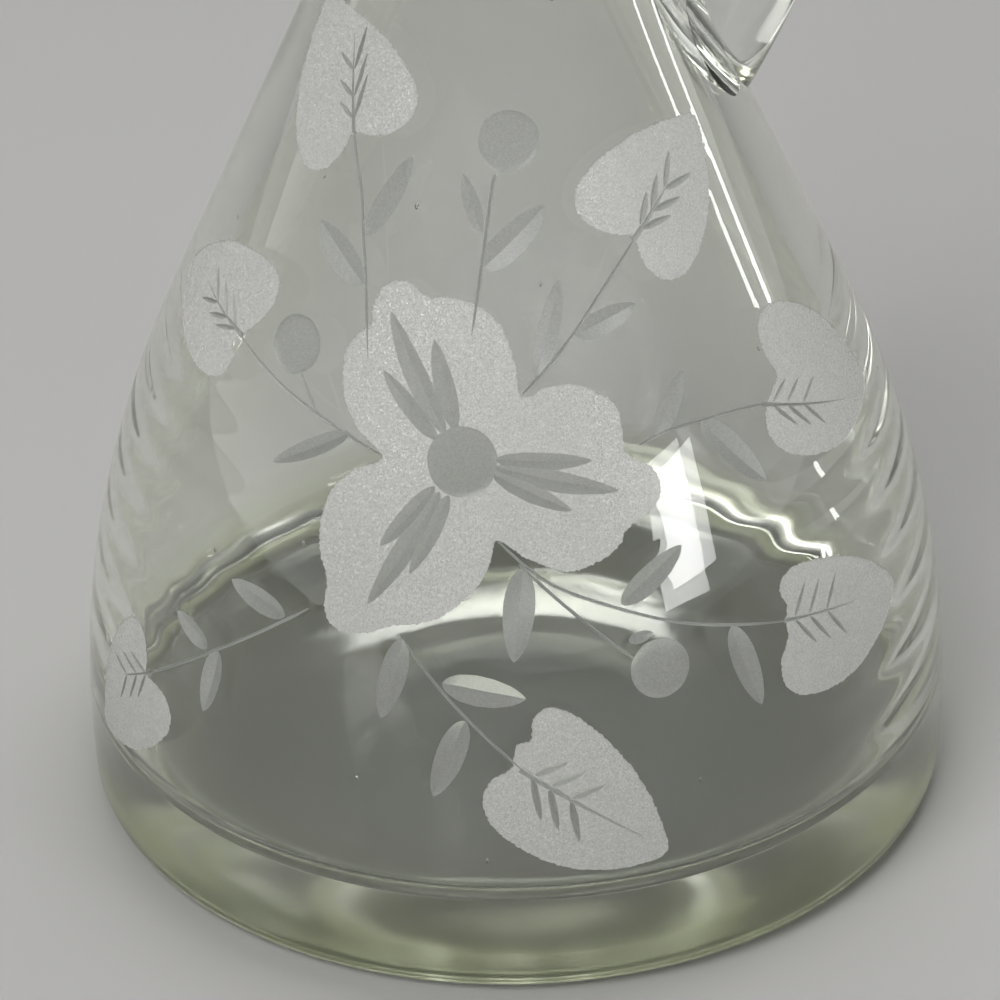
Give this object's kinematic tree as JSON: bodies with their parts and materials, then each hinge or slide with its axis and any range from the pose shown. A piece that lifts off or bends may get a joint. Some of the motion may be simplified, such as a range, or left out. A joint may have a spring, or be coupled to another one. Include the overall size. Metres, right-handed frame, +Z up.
{
  "type": "handled decanter",
  "caption": "Clear glass decanter with a bell-shaped body, flared pouring lip, applied loop handle and ground ball stopper, for keeping and pouring drinks.",
  "frame": {"origin": "middle of the base, on the surface that the decanter stands on", "axes": "+Z up along the decanter's axis, +X towards the handle, -X towards the pouring lip's spout, -Y towards the engraved front"},
  "size_m": [0.13, 0.13, 0.2419],
  "materials": {
    "vessel_glass": "clear, fire-polished, with a frosted and wheel-cut floral spray",
    "handle_glass": "clear, fire-polished",
    "stopper_glass": "clear ball, finely ground plug"
  },
  "bodies": {
    "decanter": {"vessel": "vessel_glass", "handle": "handle_glass"},
    "stopper": {"stopper": "stopper_glass"}
  },
  "joints": [
    {"name": "stopper_lift", "type": "slide", "parent": "decanter", "child": "stopper", "axis": [0, 0, 1], "range_m": [0, 0.045]}
  ]
}
